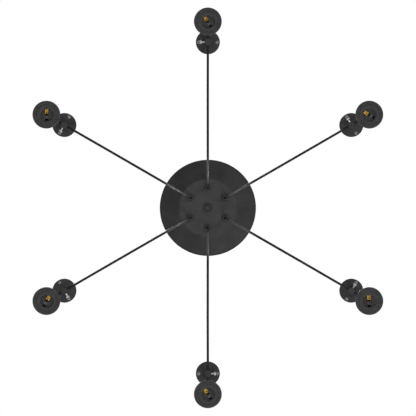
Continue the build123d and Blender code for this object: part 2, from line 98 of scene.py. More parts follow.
# %% [markdown]
# ## Light and floor
#
# A plain, soft studio. The world is white where it is seen straight, in a reflection or through
# something clear, and dimmer where it only lights the object: Light Path tells those rays apart.
# Area lamps add the direction, with their strength worked out from how bright a matt surface
# should come out: a lamp of P watts at D metres adds P / (pi^2 D^2) of its own colour. A small
# one straight below reaches into the lampholders' mouths. The key at 240 degrees and the fills at
# 150 and 330 are low and narrow, for the shine on the cords: the photograph has it over the
# canopy and again near the clamps. The top one lights the back of the canopy in views from above.
# The floor lies far below the camera, so that nothing comes between the light and any view of it.

# %% World
AMBIENT = 0.36


def seen_straight(tree):
    """1 for camera, glossy and transmission rays, and 0 for the rays that only bring light."""
    rays = tree.nodes.new("ShaderNodeLightPath").outputs
    seen = rays["Is Camera Ray"]
    for label in ("Is Glossy Ray", "Is Transmission Ray"):
        larger = tree.nodes.new("ShaderNodeMath")
        larger.operation = "MAXIMUM"
        tree.links.new(seen, larger.inputs[0])
        tree.links.new(rays[label], larger.inputs[1])
        seen = larger.outputs[0]
    return seen


world = bpy.data.worlds.new("studio")
world.use_nodes = True
bpy.context.scene.world = world
tree = world.node_tree
background = tree.nodes["Background"]
background.inputs["Color"].default_value = (1, 1, 1, 1)
strength = tree.nodes.new("ShaderNodeMapRange")
strength.inputs["To Min"].default_value = AMBIENT
strength.inputs["To Max"].default_value = 1.0
tree.links.new(seen_straight(tree), strength.inputs["Value"])
tree.links.new(strength.outputs["Result"], background.inputs["Strength"])
bpy.context.scene.view_settings.view_transform = "Standard"
print(f"world: {AMBIENT} of white as light, 1.0 where it is seen")

# %% Floor
FLOOR_HEIGHT = -30.0
FLOOR_HALF = 40.0
corners = [(x * FLOOR_HALF, y * FLOOR_HALF, FLOOR_HEIGHT) for x, y in ((-1, -1), (1, -1), (1, 1), (-1, 1))]
floor_mesh = bpy.data.meshes.new("floor")
floor_mesh.from_pydata(corners, [], [(0, 1, 2, 3)])
floor = bpy.data.objects.new("floor", floor_mesh)
bpy.context.scene.collection.objects.link(floor)
floor_paint = bpy.data.materials.new("floor_pale")
floor_paint.use_nodes = True
tree = floor_paint.node_tree
pale = tree.nodes["Principled BSDF"]
pale.inputs["Base Color"].default_value = (0.85, 0.85, 0.85, 1)
pale.inputs["Roughness"].default_value = 0.9
glow = tree.nodes.new("ShaderNodeEmission")
choice = tree.nodes.new("ShaderNodeMixShader")
tree.links.new(seen_straight(tree), choice.inputs["Fac"])
tree.links.new(pale.outputs["BSDF"], choice.inputs[1])
tree.links.new(glow.outputs["Emission"], choice.inputs[2])
tree.links.new(choice.outputs["Shader"], tree.nodes["Material Output"].inputs["Surface"])
floor_mesh.materials.append(floor_paint)
print(f"floor: {2 * FLOOR_HALF:.0f} m square, {-FLOOR_HEIGHT:.0f} m below the ceiling")

# %% Soft lamps
LAMP_CENTRE = np.array([0.0, 0.0, -0.4])  # the lamps look at the middle of the light
# name, azimuth and tilt from straight below in degrees, distance, width and height in m, level
SOFT_LAMPS = [
    ("front", 0, 0, 8.0, 1.2, 1.2, 0.14),
    ("key", 240, 50, 6.0, 2.4, 1.0, 0.44),
    ("fill_behind", 150, 48, 6.0, 2.0, 0.8, 0.30),
    ("fill_ahead", 330, 46, 6.0, 2.0, 0.8, 0.17),
    ("top", 60, 150, 7.0, 3.0, 3.0, 0.5),
]
for name, azimuth, tilt, distance, width, height, level in SOFT_LAMPS:
    turn, lean = math.radians(azimuth), math.radians(tilt)
    way = np.array([math.sin(lean) * math.cos(turn), math.sin(lean) * math.sin(turn), -math.cos(lean)])
    lamp_data = bpy.data.lights.new(name, "AREA")
    lamp_data.shape = "ELLIPSE"
    lamp_data.size = width
    lamp_data.size_y = height
    lamp_data.energy = level * (math.pi * distance) ** 2
    lamp = bpy.data.objects.new(name, lamp_data)
    lamp.location = LAMP_CENTRE + distance * way
    lamp.rotation_euler = Vector(-way).to_track_quat("-Z", "Y").to_euler()
    lamp.visible_camera = False
    bpy.context.scene.collection.objects.link(lamp)
    print(f"{name}: {lamp_data.energy:.0f} W at {distance} m")

# %% [markdown]
# ## Surfaces from grids
#
# Nearly every piece here is turned on a lathe, moulded round an axis or drawn along a line, so
# each one is a grid of points: rows along an outline, columns round the axis. Blender's own
# Screw or Spin could turn an outline, but threads, ribs and knurls change the radius with the
# angle, and a formula on whole arrays says that in one line. Points that meet at a seam or a
# pole become one vertex, and the sign of the enclosed volume shows which way the faces point.

# %% Grid to mesh
SHARP_ANGLE = math.radians(38)


def cell_faces(rows, columns):
    """Corner numbers of each grid cell, in turn round the cell."""
    corner = np.arange(rows * columns).reshape(rows, columns)
    sides = [corner[:-1, :-1], corner[:-1, 1:], corner[1:, 1:], corner[1:, :-1]]
    return np.stack(sides, axis=-1).reshape(-1, 4)


def volume_sign(points, faces):
    """Sign of the sum of a . (b x c) over the faces' triangles: positive if they face out."""
    a, b, c, d = (points[faces[:, i]] for i in range(4))
    total = np.einsum("ij,ij->", a, np.cross(b, c)) + np.einsum("ij,ij->", a, np.cross(c, d))
    return 1 if total > 0 else -1


def close_grid(grid):
    """Quads and triangles of one closed grid, with the grid's corner number for each corner."""
    points = grid.reshape(-1, 3)
    _, first, merged = np.unique(np.round(points, 4), axis=0, return_index=True, return_inverse=True)
    merged = merged.ravel()
    cells = cell_faces(*grid.shape[:2])
    if volume_sign(points - points.mean(axis=0), cells) < 0:
        cells = cells[:, ::-1]
    ids = merged[cells]
    same = ids == np.roll(ids, -1, axis=1)
    quads = ~same.any(axis=1)
    triangles = same.sum(axis=1) == 1
    keep = np.argsort(same[triangles], axis=1, kind="stable")[:, :3]
    keep = np.sort(keep, axis=1)
    corners = np.take_along_axis(cells[triangles], keep, axis=1)
    return points[first], merged, [cells[quads], corners]


def make_piece(name, grids, uvs=None, edges=None):
    """One mesh object of several closed grids (rows, columns, 3) in mm, placed in the row frame.

    uvs gives each grid's (u, v) and edges each grid's value on roundings, which drives wear and
    painted edge shade, both on the same rows and columns. Vertices that coincide are shared, and
    the object stays at the origin.
    """
    vertices, faces, loop_uv, edge = [], [], [], []
    for place, grid in enumerate(grids):
        points, merged, face_sets = close_grid(grid)
        offset = sum(len(v) for v in vertices)
        for corners in face_sets:
            faces += (merged[corners] + offset).tolist()
            if uvs is not None:
                loop_uv.append(uvs[place].reshape(-1, 2)[corners].reshape(-1, 2))
        if edges is not None:
            value = np.zeros(len(points))
            np.maximum.at(value, merged, edges[place].ravel())
            edge.append(value)
        vertices.append(points * MM)
    mesh = bpy.data.meshes.new(name)
    mesh.from_pydata(np.concatenate(vertices).tolist(), [], faces)
    if uvs is not None:
        layer = mesh.uv_layers.new(name="outline")
        layer.data.foreach_set("uv", np.concatenate(loop_uv).astype(np.float32).ravel())
    if edges is not None:
        attribute = mesh.attributes.new("edge", "FLOAT", "POINT")
        attribute.data.foreach_set("value", np.concatenate(edge).astype(np.float32))
    mesh.polygons.foreach_set("use_smooth", np.ones(len(mesh.polygons), bool))
    mesh.set_sharp_from_angle(angle=SHARP_ANGLE)
    piece = bpy.data.objects.new(name, mesh)
    bpy.context.scene.collection.objects.link(piece)
    return piece


# %% Lines


def distance_along(line):
    """Running sum of the steps' lengths, from 0 at the line's first point."""
    return np.concatenate([[0.0], np.cumsum(np.linalg.norm(np.diff(line, axis=0), axis=1))])


def directions(line):
    """Unit vectors along the line at its points."""
    along = np.gradient(line, axis=0)
    return along / np.linalg.norm(along, axis=1)[:, None]


def closed_skin(skin, middle, run):
    """Rings of skin closed on their middle line at both ends, with (u, v).

    u is the share of a turn, and v the distance along the line, which run holds.
    """
    columns = skin.shape[1]
    ends = [np.repeat(middle[place][None, None], columns, axis=1) for place in (0, -1)]
    turn = np.linspace(0, 1, columns)
    distance = np.concatenate([run[:1], run, run[-1:]])
    uv = np.stack(np.broadcast_arrays(turn[None, :], distance[:, None]), axis=-1)
    return np.concatenate([ends[0], skin, ends[1]]), uv


# %% [markdown]
# ## Outlines and turning
#
# An outline is a list of corners, as in the CAD source: radius, height and the rounding of the
# corner. `rounded_outline` puts an arc in each rounded corner, and `turned_grid` carries the
# outline round the Z axis. `relief` is how far the surface is cut in at each point: a knurl
# depends on the angle, a thread on the angle and the height together.

# %% Outline helpers
ARC_STEPS = 7


def rounded_outline(rows, longest=400.0):
    """Outline points (radius, height) and an edge value that drives wear and painted edge shade, 1 on
    roundings and 0 elsewhere.

    A corner's arc starts and ends a tangent length from it, rounding / tan(half the corner),
    and its points are the quadratic blend of start, corner and end. No run is left longer
    than `longest`, so that a relief has rows to work on.
    """
    corners = np.array([row[:2] for row in rows], float)
    points, wear = [corners[:1]], [np.zeros(1)]
    for place in range(1, len(rows)):
        corner, rounding = corners[place], rows[place][2]
        if rounding and place < len(rows) - 1:
            before = (corners[place - 1] - corner) / np.linalg.norm(corners[place - 1] - corner)
            after = (corners[place + 1] - corner) / np.linalg.norm(corners[place + 1] - corner)
            half = math.acos(np.clip(before @ after, -1, 1)) / 2
            reach = rounding / math.tan(half)
            centre = corner + (before + after) / np.linalg.norm(before + after) * rounding / math.sin(half)
            start, end = corner + before * reach, corner + after * reach
            turn = np.linspace(0, 1, ARC_STEPS)[:, None]
            chord = start + (end - start) * turn
            spoke = chord - centre
            arc = centre + spoke / np.linalg.norm(spoke, axis=1)[:, None] * rounding
        else:
            arc = corner[None, :]
        run = arc[0] - points[-1][-1]
        steps = max(1, math.ceil(np.linalg.norm(run) / longest))
        between = points[-1][-1] + run * (np.arange(1, steps) / steps)[:, None]
        points += [between, arc]
        wear += [np.zeros(len(between)), np.full(len(arc), 1.0 if rounding else 0.0)]
    return np.concatenate(points), np.concatenate(wear)


def turned_grid(outline, turns=96, relief=None):
    """Outline carried round Z: x = r cos a, y = r sin a, z = height, with r cut in by relief.

    Returns the grid and its (u, v): u is the share of a turn, v the distance along the outline.
    """
    angle = np.linspace(0, 2 * math.pi, turns + 1)
    angle_grid, radius = np.meshgrid(angle, outline[:, 0])
    height = np.repeat(outline[:, 1:], turns + 1, axis=1)
    if relief is not None:
        radius = radius - relief(radius, height, angle_grid)
    grid = np.stack([radius * np.cos(angle_grid), radius * np.sin(angle_grid), height], axis=-1)
    run = np.repeat(distance_along(outline)[:, None], turns + 1, axis=1)
    uv = np.stack([angle_grid / (2 * math.pi), run], axis=-1)
    grid[:, -1] = grid[:, 0]
    return grid, uv


def turned_piece(name, rows, places, turns=96, relief=None, longest=400.0):
    """Turned outline, copied to each place: a function that moves a grid."""
    outline, wear = rounded_outline(rows, longest)
    grid, uv = turned_grid(outline, turns, relief)
    edge = np.repeat(wear[:, None], turns + 1, axis=1)
    return make_piece(name, [place(grid) for place in places], [uv] * len(places), [edge] * len(places))


# %% [markdown]
# ## Places
#
# Six-fold pieces are worked out once on the +X arm, or mouth down at the origin, and then moved.
# A place is a turn about Z followed by a shift, written into the points and not on the object,
# because the finished objects all stay at the origin.

# %% Places


def turned_about_z(grid, degrees):
    """x cos a - y sin a, x sin a + y cos a: the whole grid turned about Z."""
    angle = math.radians(degrees)
    sine, cosine = math.sin(angle), math.cos(angle)
    x, y, z = grid[..., 0], grid[..., 1], grid[..., 2]
    return np.stack([x * cosine - y * sine, x * sine + y * cosine, z], axis=-1)


def on_arm(arm, shift=(0, 0, 0)):
    """Place on one arm: shifted along +X, +Y, +Z first, and then turned to the arm's angle."""
    return lambda grid: turned_about_z(grid + np.array(shift, float), ARM_ANGLES[arm - 1])


def at_lampholder(arm):
    """Place of one lampholder: turned to its own heading, then moved under its clamp."""
    angle = math.radians(ARM_ANGLES[arm - 1])
    foot = np.array([PIVOT_RADIUS * math.cos(angle), PIVOT_RADIUS * math.sin(angle), MOUTH_HEIGHT])
    return lambda grid: turned_about_z(grid, HEADINGS[arm - 1]) + foot


# %% Standing in for the CAD


def stand_in(piece, body, node):
    """The piece moves with its body and hides the CAD node that it stands for."""
    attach(piece, body)
    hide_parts(node)


def on_each_lampholder(name, node, slot, rows, body="lampholder", **shape):
    """One turned piece on each of the six lampholders, or on each body of another name."""
    pieces = []
    for arm in ARMS:
        piece = turned_piece(f"{name}_{arm}", rows, [at_lampholder(arm)], **shape)
        stand_in(piece, f"{body}_{arm}", f"{node}_{arm}")
        pieces.append(piece)
    print(f"{name}: {len(pieces)} pieces of {len(pieces[0].data.vertices)} vertices")
    return pieces


# %% [markdown]
# ## Cords
#
# Each cord is one round textile cable. It leaves its grip in the canopy's face straight down,
# turns out, dips and rises to its clamp, passes through the post and hangs down to its
# lampholder. A smooth NURBS line follows the same chosen points as the CAD cord, with a few
# more where the post has to hold it straight. The tube is swept along points read from that
# line, with the share of a turn and the distance along as its (u, v), which the braid follows.
# The pendant swings on the clamp; the tube runs through the bend in one piece.

# %% Cord routes
GRIP_CIRCLE_RADIUS = 42.0
CORD_START = -14.0
POST_BORE_HEIGHT = -14.0
CORD_FOOT = -949.0
SPLINE_STEPS = 24
SWAG_POINTS = [  # distance from the canopy's axis, sideways bow, height
    (GRIP_CIRCLE_RADIUS, 0.0, CORD_START),
    (GRIP_CIRCLE_RADIUS, 0.0, -52.0),
    (75.0, 0.05, -69.5),
    (127.0, 0.1, -83.0),
    (182.0, 0.15, -82.0),
    (234.0, 0.2, -69.0),
    (281.0, 0.1, -46.5),
    (321.0, 0.0, POST_BORE_HEIGHT),
]
CLAMP_POINTS = [
    (353.5, 0.0, POST_BORE_HEIGHT),
    (361.6, 0.0, -15.2),
    (PIVOT_RADIUS, 0.0, -24.0),
    (PIVOT_RADIUS, 0.0, -54.0),
    (PIVOT_RADIUS, 0.0, CORD_FOOT),
]
FREE_POINTS = slice(2, 7)  # the points between the grip and the post
EXTRA_SAG = [2.0, -1.0, 0.5, 1.5, -2.0, 0.0]
SIDE_BOW = [1.0, -0.8, 0.6, -1.0, 1.4, 0.7]


def cord_route(arm):
    """The route's points in the row frame, with this cord's own sag and sideways bow."""
    route = np.array(SWAG_POINTS + CLAMP_POINTS)
    route[FREE_POINTS, 2] -= EXTRA_SAG[arm - 1]
    route[:, 1] *= SIDE_BOW[arm - 1]
    return turned_about_z(route, ARM_ANGLES[arm - 1])


def spline_line(route):
    """Points of the smooth line that the route's points pull, read from a NURBS curve."""
    curve = bpy.data.curves.new("route", "CURVE")
    curve.dimensions = "3D"
    curve.resolution_u = SPLINE_STEPS
    spline = curve.splines.new("NURBS")
    spline.points.add(len(route) - 1)
    spline.points.foreach_set("co", np.column_stack([route, np.ones(len(route))]).ravel())
    spline.order_u = 3
    spline.use_endpoint_u = True
    holder = bpy.data.objects.new("route", curve)
    read = bpy.data.meshes.new_from_object(holder)
    line = np.zeros(len(read.vertices) * 3)
    read.vertices.foreach_get("co", line)
    bpy.data.meshes.remove(read)
    bpy.data.objects.remove(holder)
    bpy.data.curves.remove(curve)
    return line.reshape(-1, 3)


def even_line(line, step):
    """The same line with points a fixed distance apart, read off by the distance along it."""
    run = distance_along(line)
    wanted = np.linspace(0, run[-1], math.ceil(run[-1] / step) + 1)
    return np.stack([np.interp(wanted, run, line[:, axis]) for axis in range(3)], axis=-1), wanted


def tube_grid(line, run, radius, sideways, columns):
    """Circles round the line, square to it: line + radius (n cos a + b sin a).

    n is `sideways` less its share along the line, b is square to both, and both ends close on
    the line itself, so the tube is one closed skin.
    """
    along = directions(line)
    n = sideways - (along @ sideways)[:, None] * along
    n /= np.linalg.norm(n, axis=1)[:, None]
    b = np.cross(along, n)
    angle = np.append(np.linspace(0, 2 * math.pi, columns + 1)[:-1], 0.0)
    ring = n[:, None] * np.cos(angle)[None, :, None] + b[:, None] * np.sin(angle)[None, :, None]
    return closed_skin(line[:, None] + radius * ring, line, run)


# %% Cords
CORD_STEP = 2.0
CORD_COLUMNS = 16
cords = []
for arm in ARMS:
    line, run = even_line(spline_line(cord_route(arm)), CORD_STEP)
    sideways = turned_about_z(np.array([0.0, 1.0, 0.0]), ARM_ANGLES[arm - 1])
    grid, uv = tube_grid(line, run, CORD_DIAMETER / 2, sideways, CORD_COLUMNS)
    cord = make_piece(f"braided_cord_{arm}", [grid], [uv])
    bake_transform(cord)
    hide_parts(f"swag_cord_{arm}", f"drop_cord_{arm}")
    cords.append(cord)
    print(f"cord {arm}: {run[-1]:.0f} mm long, {len(cord.data.polygons)} faces")

# %% [markdown]
# ## Canopy
#
# The canopy is a cup spun from 1.2 mm sheet: a flat face, a straight cone and a short lip that
# rests on the ceiling. Solidify could give the sheet its thickness, but the outline is known, so
# the inner skin is simply the outer outline moved in along its normals, and the two together are
# one closed shell. The holes under the grips and the nut are covered, so they are left out.

# %% Canopy
CANOPY_WALL = 1.2
# The rim's roundings are painted darker as painted shade, and wear grey in places.
CANOPY_RIM = 90.0  # only the rim outside this radius counts as an edge: the face blends into the cone
CANOPY_ROWS = [(100, 0, 0), (100, -2.5, 2), (60, -25, 6), (0, -25, 0)]


def shell_outline(rows, wall, longest=400.0):
    """Closed outline of a shell: the outer points, then the same points moved in by the wall.

    The way in is the outline's direction turned a quarter, so the wall is even round each corner.
    """
    outer, wear = rounded_outline(rows, longest)
    along = directions(outer)
    inner = outer + wall * np.stack([along[:, 1], -along[:, 0]], axis=1)
    inner[-1, 0] = max(inner[-1, 0], 0.0)
    return np.concatenate([outer, inner[::-1], outer[:1]]), np.concatenate([wear, wear[::-1], wear[:1]])


outline, wear = shell_outline(CANOPY_ROWS, CANOPY_WALL, longest=2.5)
wear = wear * (outline[:, 0] > CANOPY_RIM)
grid, uv = turned_grid(outline, turns=192)
canopy = make_piece("spun_canopy", [grid], [uv], [np.repeat(wear[:, None], grid.shape[1], axis=1)])
stand_in(canopy, "ceiling_parts", "canopy_cover")
print(f"canopy: {len(canopy.data.vertices)} vertices, outline {uv[-1, 0, 1]:.0f} mm round")

# %% [markdown]
# ## Threads, ribs and knurls
#
# These are all reliefs: they say how deep the surface is cut at a given height and angle. A
# thread is a ridge that climbs one pitch a turn, so its depth depends on height / pitch less the
# share of a turn. Ribs and knurls depend on the angle alone. `window` fades a relief in and out,
# because a thread on a real screw starts and ends softly too.

# %% Reliefs


def window(value, low, high, soft):
    """1 between low and high, 0 outside, with a straight fade of width soft at each end."""
    return np.clip((value - low) / soft, 0, 1) * np.clip((high - value) / soft, 0, 1)


def on_wall(radius, wall):
    """1 where the outline is at the wall's own radius, 0 from 0.1 mm away."""
    return window(radius, wall - 0.1, wall + 0.1, soft=0.05)


def thread_cut(height, angle, pitch, depth, sharpness=1.0):
    """Depth cut between the ridges of a thread that climbs one pitch a turn."""
    phase = 2 * math.pi * height / pitch - angle
    return depth * (1 - (0.5 + 0.5 * np.cos(phase)) ** sharpness)


def groove_cut(angle, count, depth, sharpness):
    """Depth of count grooves round the axis, narrower the higher the sharpness."""
    return depth * (0.5 + 0.5 * np.cos(count * angle)) ** sharpness


# %% [markdown]
# ## Centre stud and knurled nut
#
# The nut in the middle of the canopy's face holds the canopy up, and the end of its threaded
# stud stands just proud of it. In the picture they are a dark ring with a lighter dot.

# %% Centre stud and nut
STUD_RADIUS = 3.0
STUD_ROWS = [
    (0, -34.6, 0),
    (2.2, -34.6, 0),
    (STUD_RADIUS, -33.8, 0),
    (STUD_RADIUS, -0.8, 0),
    (2.2, 0, 0),
    (0, 0, 0),
]
NUT_ROWS = [(3.05, -33, 0), (7.8, -33, 1.6), (7.8, -25, 0), (3.05, -25, 0), (3.05, -33, 0)]


def stud_thread(radius, height, angle):
    """A 1 mm pitch thread on the stud's full diameter, faded out at both ends."""
    cut = thread_cut(height, angle, pitch=1.0, depth=0.35)
    return cut * on_wall(radius, STUD_RADIUS) * window(height, -34, -1, soft=0.8)


def nut_knurl(radius, height, angle):
    """Twenty straight grooves round the nut's side."""
    return groove_cut(angle, count=20, depth=0.5, sharpness=5.0) * window(radius, 6.8, 9.0, soft=0.9)


here = [lambda grid: grid]
stud = turned_piece("threaded_stud", STUD_ROWS, here, turns=24, relief=stud_thread, longest=0.2)
nut = turned_piece("knurled_nut", NUT_ROWS, here, turns=160, relief=nut_knurl, longest=1.5)
stand_in(stud, "ceiling_parts", "centre_stud")
stand_in(nut, "ceiling_parts", "centre_nut")
print(f"stud: {len(stud.data.vertices)} vertices, nut: {len(nut.data.vertices)}")

# %% [markdown]
# ## Cord grips
#
# A cord grip is a small nylon gland: a threaded stem through the sheet and a tapered body with
# ribs for the fingers, which squeezes the cord. The canopy's six point down and the
# lampholders' point up, so one outline serves both, turned over for the canopy.

# %% Cord grips
GRIP_STEM = 8.0
STEM_RADIUS = 5.0
BORE_RADIUS = 2.8
CANOPY_FACE = -25.0
CANOPY_GRIP_HEIGHT = 10
HOLDER_GRIP_HEIGHT = 15
CAP_TOP = 62.0


def grip_rows(diameter, height):
    """Outline of a grip, mouth up: stem below zero, tapered body above it, the bore all through."""
    side = diameter / 2
    return [
        (BORE_RADIUS, -GRIP_STEM, 0),
        (STEM_RADIUS, -GRIP_STEM, 0.8),
        (STEM_RADIUS, 0, 0),
        (side, 0, 0.4),
        (side, height - 4, 0.8),
        (STEM_RADIUS, height, 0.8),
        (BORE_RADIUS, height, 0.8),
        (BORE_RADIUS, -GRIP_STEM, 0),
    ]


def grip_relief(height, seat=0.0):
    """Stem thread of 1.5 mm pitch, and finger ribs on the body below its taper, above its seat."""

    def relief(radius, z, angle):
        rise = z - seat
        stem = thread_cut(rise, angle, pitch=1.5, depth=0.45) * on_wall(radius, STEM_RADIUS)
        ribs = groove_cut(angle, count=18, depth=0.45, sharpness=2.0) * window(radius, 5.6, 9.0, soft=0.6)
        return stem * window(rise, -7.4, -0.6, soft=0.5) + ribs * window(rise, 0.4, height - 3.2, soft=0.8)

    return relief


def upside_down(grid):
    """Half a turn about X: y and z change sign."""
    return grid * np.array([1.0, -1.0, -1.0])


def under_canopy(arm):
    """Place of one grip in the canopy's face, mouth down."""
    return lambda grid: on_arm(arm, (GRIP_CIRCLE_RADIUS, 0, CANOPY_FACE))(upside_down(grid))


canopy_grips = turned_piece(
    "canopy_glands",
    grip_rows(14, CANOPY_GRIP_HEIGHT),
    [under_canopy(arm) for arm in ARMS],
    turns=72,
    relief=grip_relief(CANOPY_GRIP_HEIGHT),
    longest=0.6,
)
stand_in(canopy_grips, "ceiling_parts", "canopy_cord_grips")
print(f"glands: {len(canopy_grips.data.vertices)} vertices on the canopy")
holder_grips = on_each_lampholder(
    "holder_gland",
    "lampholder_grip",
    "grip_plastic",
    [(radius, z + CAP_TOP, rounding) for radius, z, rounding in grip_rows(13, HOLDER_GRIP_HEIGHT)],
    turns=72,
    relief=grip_relief(HOLDER_GRIP_HEIGHT, seat=CAP_TOP),
    longest=0.6,
)

# %% [markdown]
# ## Ceiling plates and their screws
#
# Each clamp is a turned disc held by two pan-head screws with a cross recess. The recess is a
# cross seen from the axis: at each angle its edge has one distance from the middle, the larger of
# two slots' edges, so the recess is three more rows of the same grid. The wood thread above the
# ceiling line has a sharp narrow ridge.

# %% Ceiling plates
PLATE_FACE = -3.5
PLATE_ROWS = [(4.05, 0, 0), (25, 0, 0.2), (25, PLATE_FACE, 1.0), (4.05, PLATE_FACE, 0), (4.05, 0, 0)]
PLATE_PLACES = [on_arm(arm, (CLAMP_RADIUS, 0, 0)) for arm in ARMS]
plates = turned_piece("clamp_discs", PLATE_ROWS, PLATE_PLACES, turns=128, longest=1.5)
stand_in(plates, "ceiling_parts", "ceiling_plates")
print(f"plates: {len(plates.data.vertices)} vertices")

# %% Plate screws
SCREW_HOLE_SPACING = 38.5
HEAD_FACE = -6.1
HEAD_RADIUS = 3.65
PLAIN_RADIUS = 1.45  # the shank inside the plate
THREAD_RADIUS = 1.75
RECESS_DEPTH = 1.6
RECESS_DISH = 0.3  # how much deeper the recess is in its middle
RECESS_FLOOR = 0.55  # size of its floor against its rim
RECESS_REACH = 2.1
RECESS_HALF_WIDTH = 0.42
SCREW_COLUMNS = 32
SCREW_ROWS = [
    (2.45, HEAD_FACE, 0),
    (HEAD_RADIUS, HEAD_FACE, 1.2),
    (HEAD_RADIUS, PLATE_FACE, 0),
    (PLAIN_RADIUS, PLATE_FACE, 0),
    (PLAIN_RADIUS, 0, 0),
    (THREAD_RADIUS, 0, 0),
    (THREAD_RADIUS, 17.5, 0),
    (0, 21.5, 0),
]


def cross_edge(angle):
    """Distance from the middle to a cross's edge: the larger of its two slots' edges."""
    across, along = np.abs(np.cos(angle)) + 1e-9, np.abs(np.sin(angle)) + 1e-9
    level = np.minimum(RECESS_REACH / across, RECESS_HALF_WIDTH / along)
    upright = np.minimum(RECESS_HALF_WIDTH / across, RECESS_REACH / along)
    return np.maximum(level, upright)


def recess_rows():
    """Three rows of a cross recess: its floor's middle, its floor's edge and its rim."""
    angle = np.linspace(0, 2 * math.pi, SCREW_COLUMNS + 1)
    reach = cross_edge(angle)
    share = np.array([0.0, RECESS_FLOOR, 1.0])[:, None]
    depth = np.array([RECESS_DEPTH, RECESS_DEPTH - RECESS_DISH, 0.0])[:, None]
    x, y = share * reach * np.cos(angle), share * reach * np.sin(angle)
    return np.stack([x, y, HEAD_FACE + np.broadcast_to(depth, x.shape)], axis=-1)


def wood_thread(radius, height, angle):
    """Sharp ridge of 1.6 mm pitch on the shank, 0.5 mm above its core."""
    cut = thread_cut(height, angle, pitch=1.6, depth=0.5, sharpness=3.0)
    return cut * window(height, 0.1, 20.5, soft=0.8) * window(radius, 0.55, 2.0, soft=0.3)


outline, wear = rounded_outline(SCREW_ROWS, longest=0.32)
body_grid, body_uv = turned_grid(outline, SCREW_COLUMNS, wood_thread)
recess = recess_rows()
screw_grid = np.concatenate([recess, body_grid])
screw_uv = np.concatenate([np.repeat(body_uv[:1], 3, axis=0), body_uv])
screw_edge = np.repeat(np.concatenate([[0, 0, 1], wear])[:, None], SCREW_COLUMNS + 1, axis=1)
screw_places = [
    on_arm(arm, (CLAMP_RADIUS, side * SCREW_HOLE_SPACING / 2, 0)) for side in (-1, 1) for arm in ARMS
]
SCREW_TURNS = [12, 75, 40, 3, 58, 81, 66, 21, 87, 49, 30, 9]  # where each recess stopped, degrees
grids = [place(turned_about_z(screw_grid, turn)) for place, turn in zip(screw_places, SCREW_TURNS)]
plate_screws = make_piece("cross_head_screws", grids, [screw_uv] * len(grids), [screw_edge] * len(grids))
stand_in(plate_screws, "ceiling_parts", "plate_screws")
print(f"screws: {len(grids)}, {len(plate_screws.data.polygons)} faces")

# %% [markdown]
# ## Lampholders
#
# A lampholder is a black moulded core with a spun metal cap over its back. Its mouth has the
# round-topped thread that takes the lamp, and its skirt has a finer thread that takes the shade
# ring. Both threads are reliefs on one closed outline, told apart by their radius. The cap is a
# shell with a collar that the cord grip screws into.

# %% Lampholder cores
LAMP_THREAD_PITCH = 3.62
LAMP_THREAD_DEPTH = 0.95
LAMP_BORE_RADIUS = 13.3
SKIRT_RADIUS = 19.5
RING_THREAD_PITCH = 3.0
CAP_RADIUS = 23.5
CAP_EDGE = 20
CORE_ROWS = [
    (0, 28, 0),
    (14.3, 28, 0.8),
    (14.3, 18, 0.3),
    (LAMP_BORE_RADIUS, 18, 0.3),
    (LAMP_BORE_RADIUS, 0.8, 0),
    (14.1, 0, 0.3),
    (SKIRT_RADIUS, 0, 0.6),
    (SKIRT_RADIUS, 17, 0),
    (CAP_RADIUS, 17, 0.5),
    (CAP_RADIUS, CAP_EDGE, 0.2),
    (22.2, CAP_EDGE, 0),
    (22.2, 27, 0.5),
    (19, 27, 0),
    (19, 38, 0.5),
    (0, 38, 0),
]


def core_threads(radius, height, angle):
    """Round lamp thread that stands in from the mouth's wall, and a ring thread on the skirt."""
    ridge = LAMP_THREAD_DEPTH - thread_cut(height, angle, LAMP_THREAD_PITCH, LAMP_THREAD_DEPTH)
    mouth = ridge * window(height, 1.2, 17.6, soft=1.5) * on_wall(radius, LAMP_BORE_RADIUS)
    cut = thread_cut(height, angle, RING_THREAD_PITCH, depth=0.5)
    return mouth + cut * window(height, 1.0, 16.4, soft=1.2) * on_wall(radius, SKIRT_RADIUS)


cores = on_each_lampholder(
    "moulded_core", "lampholder_core", "core_plastic", CORE_ROWS, turns=96, relief=core_threads, longest=0.6
)

# %% Lampholder caps
CAP_WALL = 1.0
CAP_ROWS = [
    (CAP_RADIUS, CAP_EDGE, 0),
    (CAP_RADIUS, CAP_TOP, 14),
    (5.05, CAP_TOP, 0.3),
    (5.05, 56, 0),
    (7.5, 56, 0),
    (7.5, CAP_TOP - CAP_WALL, 0),
    (CAP_RADIUS - CAP_WALL, CAP_TOP - CAP_WALL, 13),
    (CAP_RADIUS - CAP_WALL, CAP_EDGE, 0),
    (CAP_RADIUS, CAP_EDGE, 0),
]
caps = on_each_lampholder("spun_cap", "lampholder_cap", "holder_black", CAP_ROWS, turns=128, longest=3.0)

# %% [markdown]
# ## Shade rings
#
# The ring screws up the skirt and would clamp a shade against the flange. It is a flat moulded
# flange with a raised bead, a short lip for the fingers, and a collar with the thread.

# %% Shade rings
RING_BORE_RADIUS = 19.75
RING_ROWS = [
    (RING_BORE_RADIUS, 1, 0.3),
    (22.4, 1, 0),
    (23.0, 0.4, 0.3),
    (23.6, 0.4, 0.3),
    (24.2, 1, 0),
    (27.1, 1, 0.9),
    (27.1, 4.4, 0.3),
    (25.8, 4.4, 0.3),
    (25.8, 3.2, 0.3),
    (22.4, 3.2, 0.3),
    (22.4, 12, 0.3),
    (RING_BORE_RADIUS, 12, 0.3),
    (RING_BORE_RADIUS, 1, 0.3),
]


def ring_thread(radius, height, angle):
    """A thread cut outwards into the bore."""
    cut = thread_cut(height, angle, RING_THREAD_PITCH, depth=0.4)
    return -cut * window(height, 1.6, 11.4, soft=1.0) * on_wall(radius, RING_BORE_RADIUS)


rings = on_each_lampholder(
    "moulded_ring",
    "shade_ring",
    "ring_plastic",
    RING_ROWS,
    body="ring",
    turns=144,
    relief=ring_thread,
    longest=0.8,
)

